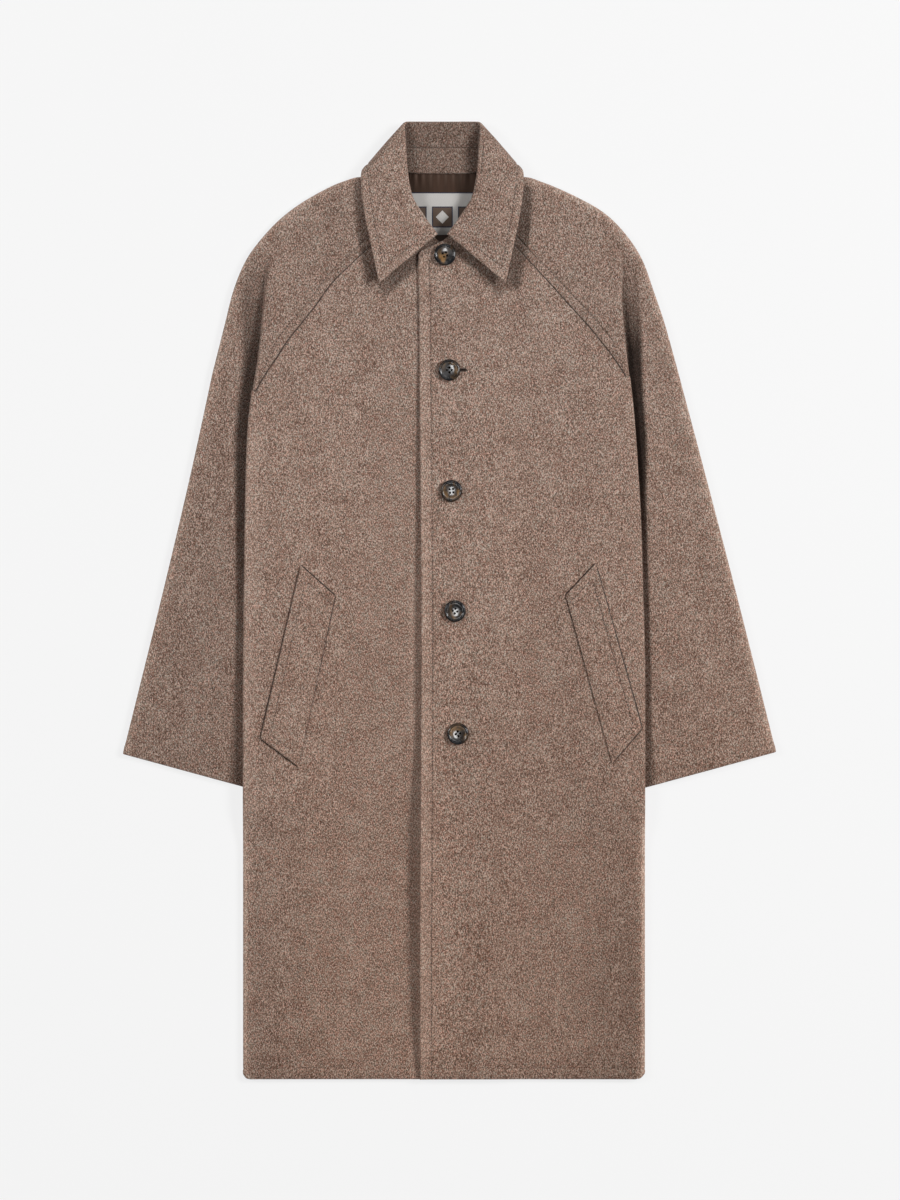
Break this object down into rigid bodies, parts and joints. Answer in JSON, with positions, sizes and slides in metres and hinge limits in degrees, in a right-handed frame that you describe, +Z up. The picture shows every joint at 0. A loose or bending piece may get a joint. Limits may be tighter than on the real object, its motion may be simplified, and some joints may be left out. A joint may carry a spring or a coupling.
{
  "type": "car coat",
  "caption": "Knee-length wool car coat with raglan sleeves, turn-down collar, buttoned front and slanting welt pockets, laid flat on its back.",
  "frame": {"origin": "on the table, below the middle of the coat's outline", "axes": "+Y towards the collar, +Z up from the table and out of the front, +X to the wearer's left"},
  "size_m": [0.751, 1.1, 0.0271],
  "materials": {
    "wool": "matte brown wool melange",
    "satin": "satin lining, dark brown",
    "label": "plain woven, off-white",
    "horn": "polished dark horn"
  },
  "bodies": {
    "root": {"back": "wool", "front_right": "wool", "front_left": "wool", "sleeve_right_front": "wool", "sleeve_right_back": "wool", "sleeve_left_front": "wool", "sleeve_left_back": "wool", "collar_fall": "wool", "collar_stand": "wool", "lining_back_neck": "satin", "label": "label", "welt_right": "wool", "welt_left": "wool", "button_1": "horn", "button_2": "horn", "button_3": "horn", "button_4": "horn", "button_5": "horn"}
  },
  "joints": []
}
